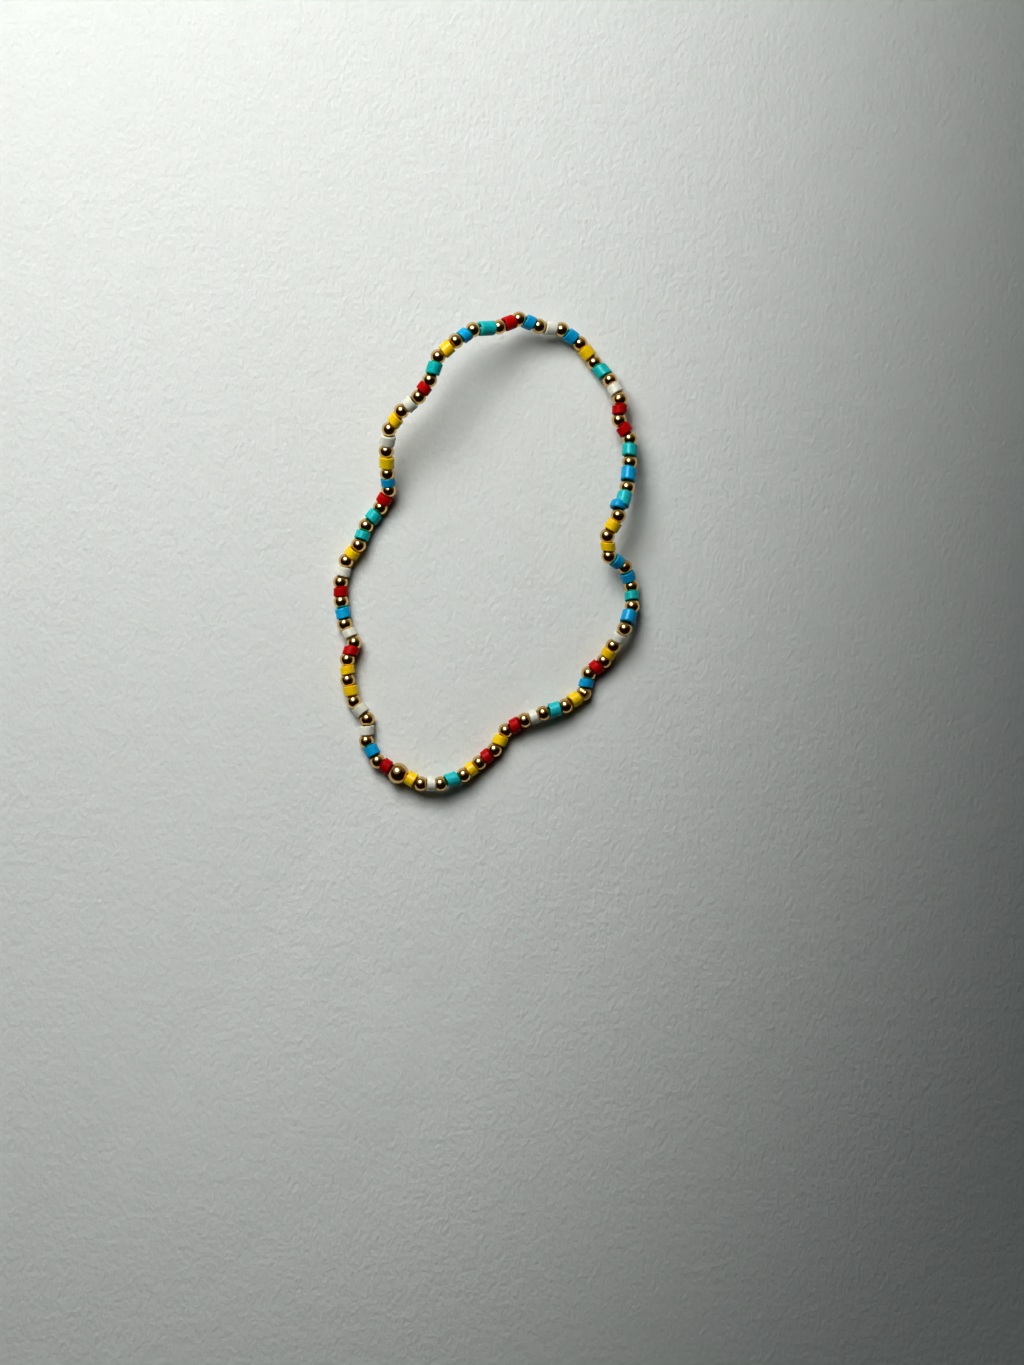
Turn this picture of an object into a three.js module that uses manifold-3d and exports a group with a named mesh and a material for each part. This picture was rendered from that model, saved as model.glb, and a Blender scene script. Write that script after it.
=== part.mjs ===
// A stretch bracelet: small gold balls and coloured cylinder beads strung in turn on a hidden elastic,
// with one large gold ball. It lies on a table as a loose, wavy loop that stands off it in places.
// Millimetres, +Z up. The origin is on the table, under the middle of the bracelet's box.
import * as THREE from "three";
import { mergeVertices } from "three/addons/utils/BufferGeometryUtils.js";
import Module from "manifold-3d";

const wasm = await Module();
wasm.setup();

// Beads
const BALL_RADIUS = 1.08;
const LARGE_BALL_RADIUS = 1.5;
const CYLINDER_RADIUS = 1.05;
const CYLINDER_LENGTH = { shortest: 1.2, longest: 2.3 };
const CYLINDER_EDGE = 0.14;
const RONDELLE_RADIUS = 1.15;
const RONDELLE_LENGTH = 1.2;
const RONDELLE_EDGE = 0.35;
const RONDELLE_SLIP = 0.45;
const BORE_RADIUS = 0.6;
const ELASTIC_RADIUS = 0.3;

// Clearances between separate pieces
const BEAD_GAP = 0.2;
const ELASTIC_GAP = 0.3;

// Sides and bands of the faceted beads
const SIDES = 10;
const BALL_RINGS = [-45, -15, 15, 45];
const LARGE_BALL_SIDES = 16;
const LARGE_BALL_BANDS = 10;
const ELASTIC_SIDES = 8;
const MERGE_DISTANCE = 1e-4;

// The loop, clockwise seen from above, a row for each short stretch of it.
// x, y: place of the stretch's first ball. rise: how far the string stands off the table there.
// share: how far along the stretch its second ball sits, of the whole way to the next row.
// sway: how far that ball is pushed off the even curve, to the left of the way round.
// beads: what is strung from there to the next row. g gold ball, A large gold ball, o blue rondelle,
// and cylinders in R red, Y yellow, W white, B blue and T turquoise.
const LEFT_STRETCHES = [
  { x: -12.6, y: -31.8, rise: 0.42, share: 0.51, sway: 0.5, beads: "ARgB" },
  { x: -17.2, y: -27.2, rise: 0.00, share: 0.51, sway: -1.3, beads: "gWgW" },
  { x: -19.0, y: -21.5, rise: 0.00, share: 0.51, sway: 0.3, beads: "gYgY" },
  { x: -19.9, y: -15.5, rise: 0.60, share: 0.46, sway: -1.2, beads: "gRgW" },
  { x: -20.3, y: -10.4, rise: 0.00, share: 0.54, sway: 0.0, beads: "gBgR" },
  { x: -20.9, y: -4.4, rise: 0.00, share: 0.53, sway: 0.4, beads: "gWgY" },
  { x: -18.3, y: 0.9, rise: 0.40, share: 0.46, sway: 0.5, beads: "gTgT" },
  { x: -15.2, y: 6.3, rise: 0.00, share: 0.55, sway: -0.5, beads: "gRgB" },
  { x: -14.1, y: 11.0, rise: 2.20, share: 0.51, sway: 0.1, beads: "gYgW" },
  { x: -13.7, y: 17.1, rise: 5.20, share: 0.50, sway: 0.3, beads: "gYgW" },
  { x: -9.5, y: 21.6, rise: 6.50, share: 0.44, sway: -0.4, beads: "gRgT" },
  { x: -6.7, y: 27.1, rise: 7.80, share: 0.54, sway: -0.1, beads: "gYgB" },
  { x: -1.8, y: 31.1, rise: 6.20, share: 0.54, sway: -0.8, beads: "gTgR" },
];
const RIGHT_STRETCHES = [
  { x: 4.7, y: 33.0, rise: 3.00, share: 0.47, sway: -0.7, beads: "gBgW" },
  { x: 10.8, y: 31.7, rise: 1.10, share: 0.50, sway: 0.2, beads: "gBgY" },
  { x: 15.5, y: 27.1, rise: 0.00, share: 0.51, sway: 0.2, beads: "gTgW" },
  { x: 19.1, y: 21.7, rise: 1.90, share: 0.50, sway: -1.1, beads: "gRgR" },
  { x: 20.5, y: 16.0, rise: 1.90, share: 0.47, sway: 0.0, beads: "gTgB" },
  { x: 20.1, y: 9.0, rise: 3.40, share: 0.50, sway: 0.0, beads: "gTo" },
  { x: 18.8, y: 4.9, rise: 4.70, share: 0.53, sway: -0.6, beads: "gYgY" },
  { x: 17.5, y: -0.8, rise: 3.20, share: 0.52, sway: 0.9, beads: "gBgB" },
  { x: 20.8, y: -5.0, rise: 0.40, share: 0.47, sway: 0.2, beads: "gTgB" },
  { x: 19.8, y: -11.1, rise: 1.70, share: 0.54, sway: -0.2, beads: "gWgY" },
  { x: 16.9, y: -15.7, rise: 0.30, share: 0.48, sway: -1.1, beads: "gRgB" },
  { x: 14.0, y: -20.3, rise: 0.00, share: 0.50, sway: 0.3, beads: "gYgT" },
  { x: 8.2, y: -23.2, rise: 0.80, share: 0.47, sway: -0.1, beads: "gWgR" },
  { x: 2.8, y: -25.7, rise: 0.00, share: 0.54, sway: 0.5, beads: "gYgR" },
  { x: -1.0, y: -30.3, rise: 0.10, share: 0.44, sway: 0.1, beads: "gYgT" },
  { x: -6.5, y: -33.3, rise: 1.00, share: 0.45, sway: 0.2, beads: "gWgY" },
];

const UP = new THREE.Vector3(0, 0, 1);
const BALLS = "gA";

// A ball's radius, and how near its centre comes to the end of a bead whose bore it sits in
const radiusOf = (kind) => (kind === "A" ? LARGE_BALL_RADIUS : BALL_RADIUS);
const seatOf = (kind) => Math.sqrt(radiusOf(kind) ** 2 - BORE_RADIUS ** 2);

// Lathe profiles are widened by this factor, so that their flats lie on the round bead they stand for.
const wideningFor = (sides) => 1 / Math.cos(Math.PI / sides);

// The balls in order, each with the letters of the beads that follow it
function stringBalls() {
  const stretches = [
    ...LEFT_STRETCHES.map((row) => ({ ...row, strand: "left" })),
    ...RIGHT_STRETCHES.map((row) => ({ ...row, strand: "right" })),
  ];
  const starts = stretches.map((row) => new THREE.Vector3(row.x, row.y, BALL_RADIUS + row.rise));
  const string = new THREE.CatmullRomCurve3(starts, true, "catmullrom");
  const balls = [];
  stretches.forEach((row, index) => {
    [...row.beads].forEach((kind, place) => {
      if (!BALLS.includes(kind)) {
        balls.at(-1).beads.push(kind);
        return;
      }
      const along = (index + (place > 0 ? row.share : 0)) / stretches.length;
      const centre = string.getPoint(along);
      if (place > 0) {
        const aside = UP.clone().cross(string.getTangent(along)).normalize();
        centre.addScaledVector(aside, row.sway);
      }
      centre.z = Math.max(centre.z, radiusOf(kind));
      balls.push({ kind, centre, strand: row.strand, beads: [] });
    });
  });
  return balls;
}

// A closed solid from a geometry, with shared corners merged and flat triangles dropped
function solidOf(geometry) {
  geometry.deleteAttribute("normal");
  geometry.deleteAttribute("uv");
  const merged = mergeVertices(geometry, MERGE_DISTANCE);
  const corners = merged.index.array;
  const triVerts = [];
  for (let i = 0; i < corners.length; i += 3) {
    const [a, b, c] = corners.slice(i, i + 3);
    if (a !== b && b !== c && c !== a) {
      triVerts.push(a, b, c);
    }
  }
  const vertProperties = new Float32Array(merged.attributes.position.array);
  const mesh = new wasm.Mesh({ numProp: 3, vertProperties, triVerts: new Uint32Array(triVerts) });
  return new wasm.Manifold(mesh);
}

function geometryOf(solid) {
  const mesh = solid.getMesh();
  const geometry = new THREE.BufferGeometry();
  geometry.setAttribute("position", new THREE.BufferAttribute(mesh.vertProperties, 3));
  geometry.setIndex(new THREE.BufferAttribute(mesh.triVerts, 1));
  geometry.computeVertexNormals();
  return geometry;
}

// Turns a bead's own Y axis along the string, with one of its flats facing straight down.
function threadAlong(geometry, centre, axis) {
  const above = UP.clone().addScaledVector(axis, -UP.dot(axis)).normalize();
  const aside = axis.clone().cross(above);
  const placing = new THREE.Matrix4().makeBasis(aside, axis, above).setPosition(centre);
  return geometry.applyMatrix4(placing);
}

function lathe(profile, sides) {
  const wide = profile.map(([radius, height]) => new THREE.Vector2(radius * wideningFor(sides), height));
  return new THREE.LatheGeometry(wide, sides, Math.PI / sides);
}

function ballGeometry() {
  const latitudes = BALL_RINGS.map((degrees) => THREE.MathUtils.degToRad(degrees));
  const ringRadius = BALL_RADIUS / Math.cos(latitudes.at(-2));
  const rings = latitudes.map((angle) => [ringRadius * Math.cos(angle), ringRadius * Math.sin(angle)]);
  return lathe([[0, -BALL_RADIUS], ...rings, [0, BALL_RADIUS]], SIDES);
}

// A cylinder with bevelled rims
function barrelGeometry(radius, length, edge) {
  const end = length / 2;
  const rim = radius - edge;
  const shoulder = end - edge;
  const profile = [[0, -end], [rim, -end], [radius, -shoulder], [radius, shoulder], [rim, end], [0, end]];
  return lathe(profile, SIDES);
}

function cylinderGeometry(length) {
  return barrelGeometry(CYLINDER_RADIUS, length, CYLINDER_EDGE);
}

function rondelleGeometry() {
  return barrelGeometry(RONDELLE_RADIUS, RONDELLE_LENGTH, RONDELLE_EDGE);
}

// The large ball is drilled, and the elastic runs in from both sides.
function largeBallGeometry() {
  const mouth = Math.acos(BORE_RADIUS / LARGE_BALL_RADIUS);
  const profile = [];
  for (let band = 0; band <= LARGE_BALL_BANDS; band += 1) {
    const angle = mouth * (2 * band / LARGE_BALL_BANDS - 1);
    profile.push([LARGE_BALL_RADIUS * Math.cos(angle), LARGE_BALL_RADIUS * Math.sin(angle)]);
  }
  profile.push(profile[0]);
  return lathe(profile, LARGE_BALL_SIDES);
}

// The coloured beads that lie in a straight line between two balls
function beadsBetween(ball, next) {
  const axis = next.centre.clone().sub(ball.centre);
  const distance = axis.length();
  axis.normalize();
  const splits = ball.strand !== next.strand;
  const seat = (kind, loose) => (loose ? radiusOf(kind) * wideningFor(SIDES) + BEAD_GAP : seatOf(kind));
  const from = seat(ball.kind, ball.kind === "A");
  const upTo = distance - seat(next.kind, next.kind === "A" || splits);
  const at = (along) => ball.centre.clone().addScaledVector(axis, along);
  if (ball.beads.length === 1) {
    const room = upTo - from;
    const length = THREE.MathUtils.clamp(room, CYLINDER_LENGTH.shortest, CYLINDER_LENGTH.longest);
    return [threadAlong(cylinderGeometry(length), at((from + upTo) / 2), axis)];
  }
  const length = upTo - from - RONDELLE_LENGTH / 2;
  const aside = axis.clone().cross(UP).normalize();
  const rondelle = at(upTo - RONDELLE_LENGTH / 2).addScaledVector(aside, RONDELLE_SLIP);
  return [
    threadAlong(cylinderGeometry(length), at(from + length / 2), axis),
    threadAlong(rondelleGeometry(), rondelle, axis),
  ];
}

// A stub of elastic from a neighbouring bead into the large ball's bore, short of its middle
function elasticStub(large, neighbour) {
  const axis = neighbour.centre.clone().sub(large.centre).normalize();
  const length = LARGE_BALL_RADIUS + 2 * BEAD_GAP - ELASTIC_GAP / 2;
  const middle = large.centre.clone().addScaledVector(axis, (ELASTIC_GAP + length) / 2);
  const stub = new THREE.CylinderGeometry(ELASTIC_RADIUS, ELASTIC_RADIUS, length, ELASTIC_SIDES);
  return threadAlong(stub, middle, axis);
}

function buildBracelet() {
  const balls = stringBalls();
  const pieces = { left: [], right: [] };
  balls.forEach((ball, index) => {
    const next = balls[(index + 1) % balls.length];
    const before = balls.at(index - 1);
    if (ball.kind === "A") {
      pieces.left.push(elasticStub(ball, next));
      pieces.right.push(elasticStub(ball, before));
    } else {
      pieces[ball.strand].push(threadAlong(ballGeometry(), ball.centre, directionAt(before, next)));
    }
    pieces[ball.strand].push(...beadsBetween(ball, next));
  });
  const large = balls.find((ball) => ball.kind === "A");
  const largeAxis = directionAt(balls.at(-1), balls[1]);
  const largeBall = threadAlong(largeBallGeometry(), large.centre, largeAxis);
  const gold = { color: 0xd4a64f, roughness: 0.15, metalness: 1.0 };
  const loop = new THREE.Group();
  addPiece(loop, "left_strand", geometryOf(fuse(pieces.left)), gold);
  addPiece(loop, "right_strand", geometryOf(fuse(pieces.right)), gold);
  addPiece(loop, "large_ball", largeBall, gold);
  const box = new THREE.Box3().setFromObject(loop);
  const middle = box.getCenter(new THREE.Vector3());
  loop.position.set(-middle.x, -middle.y, -box.min.z);
  return loop;
}

function directionAt(before, next) {
  return next.centre.clone().sub(before.centre).normalize();
}

function fuse(geometries) {
  return geometries.map(solidOf).reduce((fused, solid) => fused.add(solid));
}

function addPiece(group, name, geometry, look) {
  const piece = new THREE.Mesh(geometry, new THREE.MeshStandardMaterial(look));
  piece.name = name;
  group.add(piece);
}

const bracelet = new THREE.Group();
bracelet.add(buildBracelet());

export default bracelet;
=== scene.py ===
"""Looks of a beaded stretch bracelet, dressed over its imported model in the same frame.

Small gold balls and satin glass cylinders take turns on a loose, wavy loop of elastic, with one large
gold ball among them. The table of the loop is in millimetres, and everything that is built is in metres.
"""

import logging
import math
from dataclasses import dataclass
from enum import Enum
from typing import Any

import bpy
from mathutils import Matrix, Vector

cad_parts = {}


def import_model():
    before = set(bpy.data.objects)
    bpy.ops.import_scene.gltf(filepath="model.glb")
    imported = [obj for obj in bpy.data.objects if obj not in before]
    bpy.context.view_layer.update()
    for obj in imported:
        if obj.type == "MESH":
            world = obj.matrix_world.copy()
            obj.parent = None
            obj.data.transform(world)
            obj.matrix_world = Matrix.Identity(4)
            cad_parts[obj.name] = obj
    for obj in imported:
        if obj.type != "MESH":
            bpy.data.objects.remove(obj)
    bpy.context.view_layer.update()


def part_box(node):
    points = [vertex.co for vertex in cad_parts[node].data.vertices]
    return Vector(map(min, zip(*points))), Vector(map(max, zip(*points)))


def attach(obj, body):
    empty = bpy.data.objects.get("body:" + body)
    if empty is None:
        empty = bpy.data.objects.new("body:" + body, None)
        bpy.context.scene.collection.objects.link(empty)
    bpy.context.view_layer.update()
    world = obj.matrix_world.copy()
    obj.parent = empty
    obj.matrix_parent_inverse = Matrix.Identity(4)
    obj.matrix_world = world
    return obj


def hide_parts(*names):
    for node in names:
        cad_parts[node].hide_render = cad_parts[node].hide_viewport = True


LOG = logging.getLogger("bracelet")
MM = 0.001
UP = Vector((0.0, 0.0, 1.0))
BODY = "root"
STRANDS = ("left_strand", "right_strand")
LARGE_BALL_NODE = "large_ball"

# The frame of the photograph, and how the loop lies in it
PHOTO_WIDTH = 1024
PHOTO_HEIGHT = 1365
LOOP_MIDDLE_PX = (486.25, 551.5)
METRES_PER_PIXEL = 0.1435 * MM

# What each bead's point carries into its tree, and what the bead's mesh carries to its finish
TURN = "turn"
STRETCH = "stretch"
PLACE = "bead_place"
TONE = "tone"

# Types of the node trees' inputs and outputs
GEOMETRY = "NodeSocketGeometry"
NUMBER = "NodeSocketFloat"
COUNT = "NodeSocketInt"
COLOUR = "NodeSocketColor"
MATERIAL = "NodeSocketMaterial"

# Which sockets of a Mix node are for colours
MIX_FIRST = 6
MIX_SECOND = 7
MIX_RESULT = 2

Socket = bpy.types.NodeSocket
Triple = tuple[float, float, float]
Colour = tuple[float, float, float, float]
Span = tuple[float, float]


class BeadKind(Enum):
    """The kinds of bead, by the letters that the loop's table uses."""

    BALL = "g"
    SEAMED_BALL = "s"
    FLUTED_BALL = "f"
    LARGE_BALL = "A"
    RED = "R"
    YELLOW = "Y"
    WHITE = "W"
    BLUE = "B"
    TURQUOISE = "T"
    RONDELLE = "o"

    @property
    def is_ball(self) -> bool:
        """Whether the bead is one of the gold balls."""
        return self in (BeadKind.BALL, BeadKind.SEAMED_BALL, BeadKind.FLUTED_BALL, BeadKind.LARGE_BALL)


@dataclass(frozen=True)
class Stretch:
    """A short stretch of the loop, from its first ball up to the next stretch's, in millimetres.

    rise is how far the string stands off the table at the first ball. share is how far along the stretch
    the second ball sits, and sway is how far that ball is pushed off the even curve, to the left of the
    way round.
    """

    x: float
    y: float
    rise: float
    share: float
    sway: float
    beads: str


# The loop, clockwise seen from above, from the large ball up the left side and down the right
STRETCHES = (
    Stretch(-12.6, -31.8, 0.42, 0.51, 0.5, "ARgB"),
    Stretch(-17.2, -27.2, 0.0, 0.51, -1.3, "gWgW"),
    Stretch(-19.0, -21.5, 0.0, 0.51, 0.3, "gYgY"),
    Stretch(-19.9, -15.5, 0.6, 0.46, -1.2, "gRgW"),
    Stretch(-20.3, -10.4, 0.0, 0.54, 0.0, "gBgR"),
    Stretch(-20.9, -4.4, 0.0, 0.53, 0.4, "gWgY"),
    Stretch(-18.3, 0.9, 0.4, 0.46, 0.5, "gTgT"),
    Stretch(-15.2, 6.3, 0.0, 0.55, -0.5, "gRgB"),
    Stretch(-14.1, 11.0, 2.2, 0.51, 0.1, "gYgW"),
    Stretch(-13.7, 17.1, 5.2, 0.5, 0.3, "gYgW"),
    Stretch(-9.5, 21.6, 6.5, 0.44, -0.4, "gRgT"),
    Stretch(-6.7, 27.1, 7.8, 0.54, -0.1, "gYgB"),
    Stretch(-1.8, 31.1, 6.2, 0.54, -0.8, "gTgR"),
    Stretch(4.7, 33.0, 3.0, 0.47, -0.7, "gBgW"),
    Stretch(10.8, 31.7, 1.1, 0.5, 0.2, "gBgY"),
    Stretch(15.5, 27.1, 0.0, 0.51, 0.2, "gTgW"),
    Stretch(19.1, 21.7, 1.9, 0.5, -1.1, "sRgR"),
    Stretch(20.5, 16.0, 1.9, 0.47, 0.0, "gTgB"),
    Stretch(20.1, 9.0, 3.4, 0.5, 0.0, "gTo"),
    Stretch(18.8, 4.9, 4.7, 0.53, -0.6, "gYgY"),
    Stretch(17.5, -0.8, 3.2, 0.52, 0.9, "gBgB"),
    Stretch(20.8, -5.0, 0.4, 0.47, 0.2, "gTgB"),
    Stretch(19.8, -11.1, 1.7, 0.54, -0.2, "gWgY"),
    Stretch(16.9, -15.7, 0.3, 0.48, -1.1, "gRgB"),
    Stretch(14.0, -20.3, 0.0, 0.5, 0.3, "fYgT"),
    Stretch(8.2, -23.2, 0.8, 0.47, -0.1, "gWgR"),
    Stretch(2.8, -25.7, 0.0, 0.54, 0.5, "gYgR"),
    Stretch(-1.0, -30.3, 0.1, 0.44, 0.1, "gYgT"),
    Stretch(-6.5, -33.3, 1.0, 0.45, 0.2, "gWgY"),
)


@dataclass(frozen=True)
class BeadSizes:
    """Sizes of the beads, shared by the string and by the pieces on it."""

    ball_radius: float = 1.08 * MM
    large_ball_radius: float = 1.5 * MM
    cylinder_radius: float = 1.05 * MM
    shortest_cylinder: float = 1.2 * MM
    longest_cylinder: float = 2.3 * MM
    rondelle_radius: float = 1.15 * MM
    rondelle_length: float = 1.2 * MM
    rondelle_slip: float = 0.45 * MM
    bore_radius: float = 0.6 * MM

    def radius(self, kind: BeadKind) -> float:
        """Radius of a gold ball."""
        return self.large_ball_radius if kind is BeadKind.LARGE_BALL else self.ball_radius

    def seat(self, kind: BeadKind) -> float:
        """How near a ball's centre comes to the end of a bead whose bore it sits in."""
        return math.sqrt(self.radius(kind) ** 2 - self.bore_radius**2)


@dataclass
class BeadPlace:
    """Where one bead sits on the string: its centre, the way the string runs there, and its length."""

    kind: BeadKind
    centre: Vector
    axis: Vector
    length: float

    def turn(self) -> Triple:
        """Euler angles that lay the bead's own Z along the string and its X upwards."""
        above = (UP - self.axis * UP.dot(self.axis)).normalized()
        return tuple(Matrix((above, self.axis.cross(above), self.axis)).transposed().to_euler())


class BeadString:
    """The string of beads: where every ball, cylinder and rondelle of the loop sits."""

    def __init__(self, sizes: BeadSizes, stretches: tuple[Stretch, ...], large_ball_centre: Vector) -> None:
        """Strings the beads and lays the loop with its large ball in place.

        Args:
            sizes: Sizes of the beads.
            stretches: The loop's table.
            large_ball_centre: Where the large ball's centre is in the frame.
        """
        self.sizes = sizes
        self.stretches = stretches
        lift = sizes.ball_radius
        self.knots = [Vector((row.x * MM, row.y * MM, lift + row.rise * MM)) for row in stretches]
        self.offset = large_ball_centre - self.knots[0]
        self.beads: list[BeadPlace] = []
        self._thread()

    def of_kind(self, *kinds: BeadKind) -> list[BeadPlace]:
        """The places of the beads of some kinds, in order."""
        return [bead for bead in self.beads if bead.kind in kinds]

    def _curve(self, index: int, share: float) -> tuple[Vector, Vector]:
        """Place and direction on the even curve through the stretches' first balls.

        Args:
            index: Which stretch.
            share: How far along the stretch, from 0 to 1.

        Returns:
            The point, and the curve's direction there.
        """
        count = len(self.knots)
        before, start, end, after = (self.knots[(index + step) % count] for step in (-1, 0, 1, 2))
        leave = (end - before) / 2
        arrive = (after - start) / 2
        square = 3 * (end - start) - 2 * leave - arrive
        cube = 2 * (start - end) + leave + arrive
        point = start + leave * share + square * share**2 + cube * share**3
        direction = leave + square * 2 * share + cube * 3 * share**2
        return point, direction

    def _thread(self) -> None:
        """Places the balls along the curve, and the other beads in straight lines between them."""
        balls: list[tuple[BeadKind, Vector, list[BeadKind]]] = []
        for index, row in enumerate(self.stretches):
            for order, letter in enumerate(row.beads):
                kind = BeadKind(letter)
                if not kind.is_ball:
                    balls[-1][2].append(kind)
                    continue
                centre, direction = self._curve(index, row.share if order > 0 else 0.0)
                if order > 0:
                    centre = centre + UP.cross(direction).normalized() * row.sway * MM
                centre.z = max(centre.z, self.sizes.radius(kind))
                balls.append((kind, centre + self.offset, []))
        for index, (kind, centre, colours) in enumerate(balls):
            before = balls[index - 1][1]
            next_kind, next_centre, _ = balls[(index + 1) % len(balls)]
            along = (next_centre - before).normalized()
            self.beads.append(BeadPlace(kind, centre, along, 2 * self.sizes.radius(kind)))
            self._fill(kind, centre, next_kind, next_centre, colours)

    def _fill(
        self,
        kind: BeadKind,
        centre: Vector,
        next_kind: BeadKind,
        next_centre: Vector,
        colours: list[BeadKind],
    ) -> None:
        """Places the coloured beads between two balls.

        Args:
            kind: Kind of the first ball.
            centre: Centre of the first ball.
            next_kind: Kind of the second ball.
            next_centre: Centre of the second ball.
            colours: Kinds of the beads between them.
        """
        sizes = self.sizes
        axis = (next_centre - centre).normalized()
        start = sizes.seat(kind)
        end = (next_centre - centre).length - sizes.seat(next_kind)
        if len(colours) == 1:
            length = min(max(end - start, sizes.shortest_cylinder), sizes.longest_cylinder)
            self.beads.append(BeadPlace(colours[0], centre + axis * (start + end) / 2, axis, length))
            return
        length = end - start - sizes.rondelle_length / 2
        self.beads.append(BeadPlace(colours[0], centre + axis * (start + length / 2), axis, length))
        slip = axis.cross(UP).normalized() * sizes.rondelle_slip
        middle = centre + axis * (end - sizes.rondelle_length / 2) + slip
        self.beads.append(BeadPlace(colours[1], middle, axis, sizes.rondelle_length))


class TreeWriter:
    """Adds nodes to a node tree and links them."""

    def __init__(self, tree: bpy.types.NodeTree) -> None:
        """Takes the tree to write in."""
        self.tree = tree

    def declare(self, inputs: dict[str, str], outputs: dict[str, str]) -> Any:
        """Gives the tree its inputs and outputs.

        Args:
            inputs: Input name to socket type.
            outputs: Output name to socket type.

        Returns:
            The sockets that hold the inputs inside the tree.
        """
        for way, sockets in (("INPUT", inputs), ("OUTPUT", outputs)):
            for label, kind in sockets.items():
                self.tree.interface.new_socket(label, in_out=way, socket_type=kind)
        return self.add("NodeGroupInput").outputs

    def add(self, kind: str, inputs: dict[str | int, Any] | None = None, **settings: Any) -> bpy.types.Node:
        """Adds a node.

        Args:
            kind: The node's type name.
            inputs: Input name or index to a value, or to the socket that feeds it.
            **settings: Properties of the node.

        Returns:
            The node.
        """
        node = self.tree.nodes.new(kind)
        for name, value in settings.items():
            setattr(node, name, value)
        self.feed(node, inputs or {})
        return node

    def feed(self, node: bpy.types.Node, inputs: dict[str | int, Any]) -> None:
        """Sets or links a node's inputs.

        Args:
            node: The node.
            inputs: Input name or index to a value, or to the socket that feeds it.
        """
        for key, value in inputs.items():
            if isinstance(value, Socket):
                self.tree.links.new(value, node.inputs[key])
            else:
                node.inputs[key].default_value = value

    def get(self, kind: str, inputs: dict[str | int, Any] | None = None, **settings: Any) -> Socket:
        """Adds a node, and returns its first output."""
        return self.add(kind, inputs, **settings).outputs[0]

    def math(self, operation: str, *values: Any) -> Socket:
        """Adds a Math node over values or sockets, and returns its result."""
        return self.get("ShaderNodeMath", dict(enumerate(values)), operation=operation)

    def vector(self, operation: str, *values: Any) -> Socket:
        """Adds a Vector Math node over values or sockets, and returns its vector."""
        return self.get("ShaderNodeVectorMath", dict(enumerate(values)), operation=operation)

    def scaled(self, vector: Any, scale: Any) -> Socket:
        """Scales a vector by a number, and returns the result."""
        return self.get("ShaderNodeVectorMath", {0: vector, "Scale": scale}, operation="SCALE")

    def combine(self, x: Any, y: Any, z: Any) -> Socket:
        """Makes a vector of three numbers or sockets."""
        return self.get("ShaderNodeCombineXYZ", {"X": x, "Y": y, "Z": z})

    def mix_colour(self, share: Any, first: Any, second: Any) -> Socket:
        """Mixes two colours, and returns the result."""
        inputs = {"Factor": share, MIX_FIRST: first, MIX_SECOND: second}
        return self.add("ShaderNodeMix", inputs, data_type="RGBA").outputs[MIX_RESULT]

    def dot(self, vector: Any, direction: Triple) -> Socket:
        """Adds a dot product of a vector and a fixed direction, and returns its value."""
        node = self.add("ShaderNodeVectorMath", {0: vector, 1: direction}, operation="DOT_PRODUCT")
        return node.outputs["Value"]

    def ramp(self, value: Any, span: tuple[Any, Any], low: Any = 0.0, high: Any = 1.0) -> Socket:
        """Maps a span smoothly to the range from low to high, and returns the result."""
        inputs = {"Value": value, "From Min": span[0], "From Max": span[1], "To Min": low, "To Max": high}
        return self.get("ShaderNodeMapRange", inputs, interpolation_type="SMOOTHSTEP")

    def noise(self, place: Any, scale: Any, detail: float = 2.0) -> Socket:
        """Adds a noise texture, and returns its value."""
        return self.get("ShaderNodeTexNoise", {"Vector": place, "Scale": scale, "Detail": detail})

    def rotation(self, euler: Socket) -> Socket:
        """Makes a rotation of Euler angles."""
        return self.get("FunctionNodeEulerToRotation", {"Euler": euler})

    def circle(self, sides: Socket, radius: Socket) -> Socket:
        """Draws a circle, and returns its curve."""
        return self.get("GeometryNodeCurvePrimitiveCircle", {"Resolution": sides, "Radius": radius})

    def sweep(self, path: Socket, profile: Socket) -> Socket:
        """Sweeps a profile along a path, and returns the smooth mesh."""
        swept = self.get("GeometryNodeCurveToMesh", {"Curve": path, "Profile Curve": profile})
        return self.get("GeometryNodeSetShadeSmooth", {"Geometry": swept})

    def store(self, geometry: Socket, name: str, value: Socket, **settings: str) -> Socket:
        """Keeps a value on the geometry as a named attribute, and returns the geometry."""
        inputs = {"Geometry": geometry, "Name": name, "Value": value}
        return self.get("GeometryNodeStoreNamedAttribute", inputs, **settings)

    def end(self, geometry: Socket, material: Socket) -> None:
        """Dresses the geometry in the material and ends a geometry tree with it."""
        dressed = self.get("GeometryNodeSetMaterial", {"Geometry": geometry, "Material": material})
        self.add("NodeGroupOutput", {"Geometry": dressed})


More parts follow.
